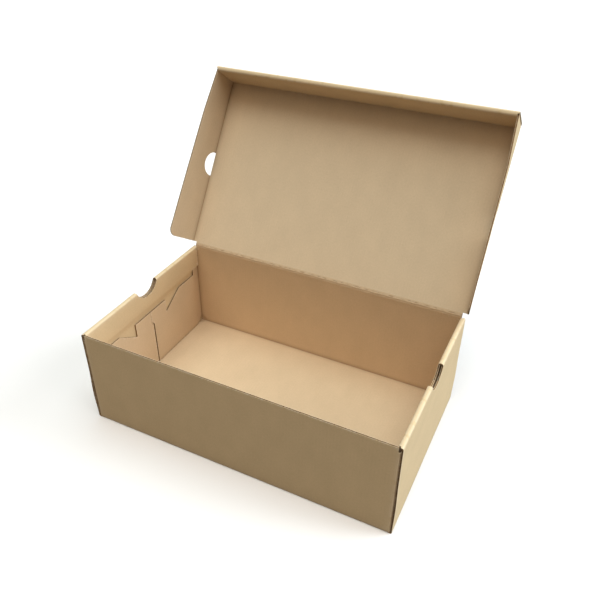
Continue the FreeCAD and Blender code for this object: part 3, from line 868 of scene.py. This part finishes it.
def crease_brown_and_shade(x, place):
    """How brown the crease's inner face is: a line in the dent and a band beside it, partly crushed paper
    and partly painted shade in the dent and the pinch.
    """
    cover = np.clip(BROWN_LINE_COVER + BROWN_LINE_CHANGE * ripple(x, DENT_COVER_SEED), 0, 1)
    line = bump_at(place, dent_place(x), BROWN_LINE_WIDTH) * cover
    band_place = BROWN_BAND_PLACE + BROWN_BAND_SWAY * ripple(x, BAND_SEED)
    band = bump_at(place, band_place, BROWN_BAND_WIDTH) * BROWN_BAND_TONE
    return np.maximum(line, band)


def make_crease(materials):
    """Bent strip of board that joins the rear wall to the lid."""
    columns = even(-CORNER_FOLD, CORNER_FOLD, CREASE_CELL)
    rows = np.linspace(-CREASE_SPAN, CREASE_SPAN, CREASE_ROWS)
    x, place = (grid.ravel() for grid in np.meshgrid(columns, rows, indexing="ij"))
    inner = crease_section(x, place)
    pinch = bump_at(place, 0.0, PINCH_WIDTH) * (BOARD / 2 - CREASE_THIN)
    outer = BOARD / 2 + CREASE_PROUD - pinch
    towards_lid = math.pi / 2 - (math.pi - LID_OPEN)
    turn = towards_lid * eased((place + CREASE_REACH) / (2 * CREASE_REACH))
    run = np.abs(place)
    level = np.where(place > 0, run * math.sin(towards_lid), 0.0)
    height = np.where(place > 0, run * math.cos(towards_lid), -run)
    points = []
    for side, depth in ((-1, inner), (1, outer)):
        y = HINGE_Y + level + side * depth * np.cos(turn)
        z = HINGE_Z + height - side * depth * np.sin(turn)
        points.append(np.column_stack((x, y, z)))
    count = len(x)
    grid = np.arange(count).reshape(-1, CREASE_ROWS)
    a, b, c, d = (g.ravel() for g in (grid[:-1, :-1], grid[1:, :-1], grid[1:, 1:], grid[:-1, 1:]))
    front = np.column_stack((a, b, c, d))
    back = np.column_stack((d, c, b, a)) + count
    ring = np.concatenate((grid[:-1, 0], grid[-1, :-1], grid[:0:-1, -1], grid[0, :0:-1]))
    after = np.roll(ring, -1)
    sides = np.column_stack((ring, ring + count, after + count, after))
    solid = [*front.tolist(), *back.tolist(), *sides.tolist()]
    papers = [INNER_PAPER] * len(front) + [OUTER_PAPER] * len(back) + [CUT_EDGE] * len(sides)
    # Brown of the crease's inner face, carried as its fold mark: partly painted shade in the dent and the
    # pinch.
    brown = crease_brown_and_shade(x, place)
    flat = np.column_stack((x, wall_place(HINGE_Z) + place, 0 * x))
    flat = np.concatenate((flat, flat))
    marks = (np.concatenate((brown, 0 * brown)), np.zeros(2 * count))
    return add_mesh("hinge_crease", np.concatenate(points), solid, papers, flat, materials, marks)


# Camera, as found from the corners of the box

CAMERA_AZIMUTH = 25.68
CAMERA_ELEVATION = 34.73
CAMERA_ROLL = 0.67
CAMERA_ACROSS = 23.54 * MM
CAMERA_UP = 116.43 * MM
CAMERA_DISTANCE = 708.85 * MM
LENS_IN_PICTURE_WIDTHS = 647.87 / 600
SENSOR_WIDTH = 36.0


def set_camera():
    """Camera at the photograph's angle and distance."""
    azimuth = math.radians(CAMERA_AZIMUTH)
    elevation = math.radians(CAMERA_ELEVATION)
    roll = math.radians(CAMERA_ROLL)
    back = Vector((
        math.sin(azimuth) * math.cos(elevation),
        -math.cos(azimuth) * math.cos(elevation),
        math.sin(elevation),
    ))
    level = Vector((0, 0, 1)).cross(back).normalized()
    upright = back.cross(level)
    right = math.cos(roll) * level + math.sin(roll) * upright
    up = math.cos(roll) * upright - math.sin(roll) * level
    place = CAMERA_ACROSS * right + CAMERA_UP * up + CAMERA_DISTANCE * back
    data = bpy.data.cameras.new("camera")
    data.sensor_width = SENSOR_WIDTH
    data.lens = LENS_IN_PICTURE_WIDTHS * SENSOR_WIDTH
    camera = bpy.data.objects.new("camera", data)
    axes = Matrix((right, up, back)).transposed()
    camera.matrix_world = Matrix.Translation(place) @ axes.to_4x4()
    bpy.context.scene.collection.objects.link(camera)
    bpy.context.scene.camera = camera


# Light and floor: each lamp's name, direction towards it, level, spread in degrees and colour

LAMPS = (
    ("overhead", (0.0, 0.0, 1.0), 0.88, 60, (0.78, 0.94, 1.0)),
    ("side", (1.0, 0.6, 0.5), 1.0, 40, (0.76, 0.90, 1.0)),
    ("front", (0.0, -0.6, 1.0), 0.38, 60, (0.95, 0.80, 0.62)),
    ("right", (1.0, 0.0, 0.6), 0.22, 40, (1.0, 0.96, 0.90)),
)
DIM_SURROUND = {"Color": (1.0, 0.80, 0.52, 1), "Strength": 0.02}
WHITE_SURROUND = {"Color": (1, 1, 1, 1), "Strength": 1.0}
FLOOR_HALF = 3.0
FLOOR_DROP = 0.0002
FLOOR_ROUGHNESS = 0.9
FLOOR_SEEN = (0.86, 0.80, 0.78, 1)
FLOOR_BOUNCED = (0.16, 0.15, 0.14, 1)


def add_sun(name, towards, level, spread, colour):
    """Wide soft source, even over the whole scene; level 1 shows a facing colour as it is written."""
    data = bpy.data.lights.new(name, "SUN")
    data.energy = level * math.pi
    data.angle = math.radians(spread)
    data.color = colour
    lamp = bpy.data.objects.new(name, data)
    lamp.matrix_world = Vector(towards).to_track_quat("Z", "Y").to_matrix().to_4x4()
    bpy.context.scene.collection.objects.link(lamp)


def set_light():
    """The lamps, and a dim surround that is white where it is seen or mirrored."""
    for lamp in LAMPS:
        add_sun(*lamp)
    world = bpy.data.worlds.new("surround")
    world.use_nodes = True
    tree = world.node_tree
    tree.nodes.clear()
    dim = add_node(tree, "ShaderNodeBackground", DIM_SURROUND)
    white = add_node(tree, "ShaderNodeBackground", WHITE_SURROUND)
    path = add_node(tree, "ShaderNodeLightPath").outputs
    seen = math_node(tree, "MAXIMUM", path["Is Camera Ray"], path["Is Glossy Ray"])
    seen = math_node(tree, "MAXIMUM", seen, path["Is Transmission Ray"])
    mix = add_node(tree, "ShaderNodeMixShader", {0: seen, 1: dim.outputs[0], 2: white.outputs[0]})
    add_node(tree, "ShaderNodeOutputWorld", {"Surface": mix.outputs[0]})
    bpy.context.scene.world = world
    bpy.context.scene.view_settings.view_transform = "Standard"


def add_floor():
    """Plain floor, pale where it is seen and grey for bounced light, that keeps the box's shadow."""
    mesh = bpy.data.meshes.new("floor")
    around = ((-1, -1), (1, -1), (1, 1), (-1, 1))
    corners = [(FLOOR_HALF * x, FLOOR_HALF * y, -FLOOR_DROP) for x, y in around]
    mesh.from_pydata(corners, [], [(0, 1, 2, 3)])
    floor = bpy.data.objects.new("floor", mesh)
    bpy.context.scene.collection.objects.link(floor)
    material = bpy.data.materials.new("floor_white")
    material.use_nodes = True
    tree = material.node_tree
    shader = tree.nodes["Principled BSDF"]
    shader.inputs["Roughness"].default_value = FLOOR_ROUGHNESS
    path = add_node(tree, "ShaderNodeLightPath")
    tone = tinted(tree, FLOOR_BOUNCED, FLOOR_SEEN, path.outputs["Is Camera Ray"])
    tree.links.new(tone, shader.inputs["Base Color"])
    mesh.materials.append(material)


# Finishes

KRAFT_OUT = (0.63, 0.455, 0.265)
KRAFT_IN = (0.60, 0.43, 0.27)
KRAFT_LID_IN = (0.63, 0.475, 0.315)
KRAFT_PALE = (0.72, 0.585, 0.43)
# Outer folds: paler stretched liner, partly a painted highlight on the folds.
KRAFT_BENT_AND_HIGHLIGHT = (0.69, 0.53, 0.35)
# Inner folds and the hinge crease: dark crushed paper, partly painted shade in the fold's hollow.
CREASE_BROWN_AND_SHADE = (0.19, 0.085, 0.03)
# Cut edges and the board's inside: darker cut paper, partly painted shade inside the open flutes.
CUT_BROWN_AND_SHADE = (0.22, 0.115, 0.048)
# Flute paper: darker than the liners, partly painted shade inside the open flutes.
FLUTE_BROWN_AND_SHADE = (0.31, 0.18, 0.085)
PALE_FIBRE = (0.62, 0.75)
DARK_FIBRE = (0.38, 0.26)
PRINT_PATCH = (0.35, 0.65)
NO_COVER = 0.75
COVER_SHARE = 0.5
PATCH_EDGE = 0.12
FOLD_POWER = 3.0
RIM_POWER = 5.0
TONE_RANGE = (0.8, 1.2)
PAPER_ROUGHNESS = (0.92, 0.80)
PAPER_SPECULAR = 0.22
RELIEF_DEPTH = 0.00006
MIX_FACTOR, MIX_COLOUR, MIX_TINT, MIX_RESULT = 0, 6, 7, 2


def node_group(name, inputs, outputs):
    """Empty shader group with named sockets; the type of each input's value chooses its kind."""
    kinds = {float: "NodeSocketFloat", tuple: "NodeSocketVector", list: "NodeSocketColor"}
    tree = bpy.data.node_groups.new(name, "ShaderNodeTree")
    for label, value in inputs.items():
        socket = tree.interface.new_socket(label, in_out="INPUT", socket_type=kinds[type(value)])
        socket.default_value = value
    for label, kind in outputs.items():
        tree.interface.new_socket(label, in_out="OUTPUT", socket_type=kinds[kind])
    return tree, add_node(tree, "NodeGroupInput").outputs


def spread_node(tree, value, low, high, to_low=0.0, to_high=1.0):
    """Output of a clamped smooth change of range."""
    return add_node(tree, "ShaderNodeMapRange", {
        "Value": value,
        "From Min": low,
        "From Max": high,
        "To Min": to_low,
        "To Max": to_high,
    }, interpolation_type="SMOOTHSTEP").outputs[0]


def stretched(tree, place, across, along):
    """Place divided by a different size across and along the flutes."""
    sizes = add_node(tree, "ShaderNodeCombineXYZ", {0: across, 1: along, 2: 1.0}).outputs[0]
    return add_node(tree, "ShaderNodeVectorMath", {0: place, 1: sizes}, operation="DIVIDE").outputs[0]


def mottle_group():
    """Soft cloudy unevenness of recycled paper."""
    tree, given = node_group("mottle", {
        "Place": (0.0, 0.0, 0.0),
        "Across": 0.02,
        "Along": 0.03,
        "Amount": 0.1,
    }, {"Tone": float})
    place = stretched(tree, given["Place"], given["Across"], given["Along"])
    wide = add_node(tree, "ShaderNodeTexNoise", {
        "Vector": place,
        "Scale": 1.0,
        "Detail": 5.0,
        "Roughness": 0.55,
    })
    level = math_node(tree, "SUBTRACT", wide.outputs[0], 0.5)
    tone = math_node(tree, "MULTIPLY_ADD", level, given["Amount"], 1.0)
    add_node(tree, "NodeGroupOutput", {"Tone": tone})
    return tree


def fibre_group():
    """Short pale and dark fibres pressed into the paper."""
    tree, given = node_group("fibres", {
        "Place": (0.0, 0.0, 0.0),
        "Length": 0.003,
        "Width": 0.0004,
        "Amount": 0.1,
    }, {"Tone": float, "Relief": float})
    bent = add_node(tree, "ShaderNodeTexNoise", {
        "Vector": given["Place"],
        "Scale": 90.0,
        "Detail": 1.0,
    })
    drift = add_node(tree, "ShaderNodeVectorMath", {
        0: bent.outputs["Color"],
        "Scale": 0.004,
    }, operation="SCALE")
    moved = add_node(tree, "ShaderNodeVectorMath", {
        0: given["Place"],
        1: drift.outputs[0],
    }, operation="ADD")
    place = stretched(tree, moved.outputs[0], given["Length"], given["Width"])
    lines = add_node(tree, "ShaderNodeTexNoise", {"Vector": place, "Scale": 1.0, "Detail": 2.0})
    pale = spread_node(tree, lines.outputs[0], *PALE_FIBRE)
    dark = spread_node(tree, lines.outputs[0], *DARK_FIBRE)
    level = math_node(tree, "SUBTRACT", pale, dark)
    tone = math_node(tree, "MULTIPLY_ADD", level, given["Amount"], 1.0)
    add_node(tree, "NodeGroupOutput", {"Tone": tone, "Relief": lines.outputs[0]})
    return tree


def flute_print_group():
    """Faint washboard of the fluting under the liner."""
    tree, given = node_group("flute_print", {
        "Place": (0.0, 0.0, 0.0),
        "Pitch": 0.003,
        "Amount": 0.02,
    }, {"Tone": float, "Relief": float})
    parts = add_node(tree, "ShaderNodeSeparateXYZ", {0: given["Place"]})
    turns = math_node(tree, "DIVIDE", parts.outputs["X"], given["Pitch"])
    wave = math_node(tree, "SINE", math_node(tree, "MULTIPLY", turns, 2 * math.pi))
    patch = add_node(tree, "ShaderNodeTexNoise", {"Vector": given["Place"], "Scale": 14.0, "Detail": 2.0})
    share = spread_node(tree, patch.outputs[0], *PRINT_PATCH)
    relief = math_node(tree, "MULTIPLY", wave, share)
    tone = math_node(tree, "MULTIPLY_ADD", relief, given["Amount"], 1.0)
    add_node(tree, "NodeGroupOutput", {"Tone": tone, "Relief": relief})
    return tree


def broken_line_group():
    """Mask of a crease or a rubbed edge that comes and goes along its length."""
    tree, given = node_group("broken_line", {
        "Mask": 0.0,
        "Place": (0.0, 0.0, 0.0),
        "Size": 0.004,
        "Cover": 0.5,
        "Strength": 1.0,
    }, {"Mask": float})
    place = stretched(tree, given["Place"], given["Size"], given["Size"])
    noise = add_node(tree, "ShaderNodeTexNoise", {"Vector": place, "Scale": 1.0, "Detail": 3.0})
    covered = math_node(tree, "MULTIPLY", given["Cover"], COVER_SHARE)
    low = math_node(tree, "SUBTRACT", NO_COVER, covered)
    high = math_node(tree, "ADD", low, PATCH_EDGE)
    patches = spread_node(tree, noise.outputs[0], low, high)
    both = math_node(tree, "MULTIPLY", patches, given["Mask"])
    add_node(tree, "NodeGroupOutput", {"Mask": math_node(tree, "MULTIPLY", both, given["Strength"])})
    return tree


def place_group(tree, group, values):
    """A shared group in a material, with values of its own."""
    return add_node(tree, "ShaderNodeGroup", values, node_tree=group).outputs


def tinted(tree, colour, tint, mask):
    """Colour moved towards a tint where the mask is."""
    values = {MIX_FACTOR: mask, MIX_COLOUR: colour, MIX_TINT: tint}
    return add_node(tree, "ShaderNodeMix", values, data_type="RGBA").outputs[MIX_RESULT]


def paper_material(name, colour, crease, worn, mottle=0.16, fibre=0.06, print_tone=0.008, cover=1.2):
    """Kraft paper: crease and worn are the colours that folds and rubbed edges take; the fold colour is
    partly painted light, a painted shade in inner folds and a painted highlight on outer folds.
    """
    material = bpy.data.materials.new(name)
    material.use_nodes = True
    tree = material.node_tree
    shader = tree.nodes["Principled BSDF"]
    place = add_node(tree, "ShaderNodeUVMap", uv_map="board").outputs[0]
    clouds = place_group(tree, groups["mottle"], {
        "Place": place, "Across": 0.022, "Along": 0.035, "Amount": mottle,
    })
    specks = place_group(tree, groups["mottle"], {
        "Place": place, "Across": 0.0016, "Along": 0.0022, "Amount": mottle,
    })
    fibres = place_group(tree, groups["fibres"], {
        "Place": place, "Length": 0.0045, "Width": 0.0007, "Amount": fibre,
    })
    flutes = place_group(tree, groups["flute_print"], {
        "Place": place, "Pitch": FLUTE_PITCH * MM, "Amount": print_tone,
    })
    # The fold mask tints folds towards the crease colour: partly the crushed and stretched paper, partly
    # painted shade in inner folds and a painted highlight on outer folds.
    folded = add_node(tree, "ShaderNodeAttribute", attribute_name="fold").outputs["Fac"]
    rubbed = add_node(tree, "ShaderNodeAttribute", attribute_name="rim").outputs["Fac"]
    line = place_group(tree, groups["broken_line"], {
        "Mask": math_node(tree, "POWER", folded, FOLD_POWER),
        "Place": place,
        "Size": 0.008,
        "Cover": cover,
        "Strength": 0.9,
    })
    wear = place_group(tree, groups["broken_line"], {
        "Mask": math_node(tree, "POWER", rubbed, RIM_POWER),
        "Place": place,
        "Size": 0.003,
        "Cover": 0.6,
        "Strength": 0.55,
    })
    tone = math_node(tree, "MULTIPLY", clouds["Tone"], specks["Tone"])
    tone = math_node(tree, "MULTIPLY", tone, fibres["Tone"])
    tone = math_node(tree, "MULTIPLY", tone, flutes["Tone"])
    plain = add_node(tree, "ShaderNodeVectorMath", {0: colour, "Scale": tone}, operation="SCALE")
    creased_and_painted_light = tinted(tree, plain.outputs[0], (*crease, 1), line["Mask"])
    finished = tinted(tree, creased_and_painted_light, (*worn, 1), wear["Mask"])
    tree.links.new(finished, shader.inputs["Base Color"])
    rough = spread_node(tree, tone, *TONE_RANGE, *PAPER_ROUGHNESS)
    tree.links.new(rough, shader.inputs["Roughness"])
    shader.inputs["Specular IOR Level"].default_value = PAPER_SPECULAR
    waves = add_node(tree, "ShaderNodeBump", {
        "Strength": 0.18, "Distance": RELIEF_DEPTH, "Height": flutes["Relief"],
    })
    grain = add_node(tree, "ShaderNodeBump", {
        "Strength": 0.2, "Distance": RELIEF_DEPTH, "Height": fibres["Relief"], "Normal": waves.outputs[0],
    })
    tree.links.new(grain.outputs[0], shader.inputs["Normal"])
    return material


groups = {
    "mottle": mottle_group(),
    "fibres": fibre_group(),
    "flute_print": flute_print_group(),
    "broken_line": broken_line_group(),
}
papers = [
    # Outer paper: its folds are tinted paler, partly a painted highlight.
    paper_material("outer_kraft", KRAFT_OUT, KRAFT_BENT_AND_HIGHLIGHT, KRAFT_PALE, cover=0.8),
    # Inner paper: its folds are tinted dark brown, partly painted shade.
    paper_material("inner_kraft", KRAFT_IN, CREASE_BROWN_AND_SHADE, KRAFT_PALE),
    # Cut-edge finish: darker paper with painted shade inside the open edge.
    paper_material("cut_kraft_and_shade", CUT_BROWN_AND_SHADE, CUT_BROWN_AND_SHADE, FLUTE_BROWN_AND_SHADE, mottle=0.5),
]
# Lid's inner paper: its folds are tinted dark brown too, partly painted shade.
lid_inner = paper_material("lid_inner_kraft", KRAFT_LID_IN, CREASE_BROWN_AND_SHADE, KRAFT_PALE)
lid_papers = [papers[0], lid_inner, papers[2]]
# Flute finish: darker paper with painted shade inside the open edge.
flute_paper = paper_material("flute_kraft_and_shade", FLUTE_BROWN_AND_SHADE, CUT_BROWN_AND_SHADE, CUT_BROWN_AND_SHADE, mottle=0.3)

TRAY_FOLDS = ((END_FOLD, TOP_FOLD, STRIP_FOLD, CORNER_FOLD), (WALL_FOLD,))
LID_FOLDS = ((SIDE_FOLD,), (FRONT_FOLD, RIM_FOLD, HEM_FOLD))
tray_loops = [tray_outline(), finger_hole(1), finger_hole(-1)]
lid_loops = [lid_outline(), side_hole(1), side_hole(-1), tab_slot(1), tab_slot(-1)]
flutes = flute_tree()

tray_sheet = make_sheet("tray_sheet", tray_loops, tray_lines(), bend_tray, papers, TRAY_FOLDS)
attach(tray_sheet, "tray")
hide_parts("tray")

tray_flutes = make_flutes("tray_flutes", tray_loops, bend_tray, flutes, flute_paper)
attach(tray_flutes, "tray")

lid_sheet = make_sheet("lid_sheet", lid_loops, lid_lines(), bend_lid, lid_papers, LID_FOLDS)
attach(lid_sheet, "lid")
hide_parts("lid")

lid_flutes = make_flutes("lid_flutes", lid_loops, bend_lid, flutes, flute_paper)
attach(lid_flutes, "lid")

crease = make_crease(papers)
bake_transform(crease)

set_camera()
set_light()
add_floor()
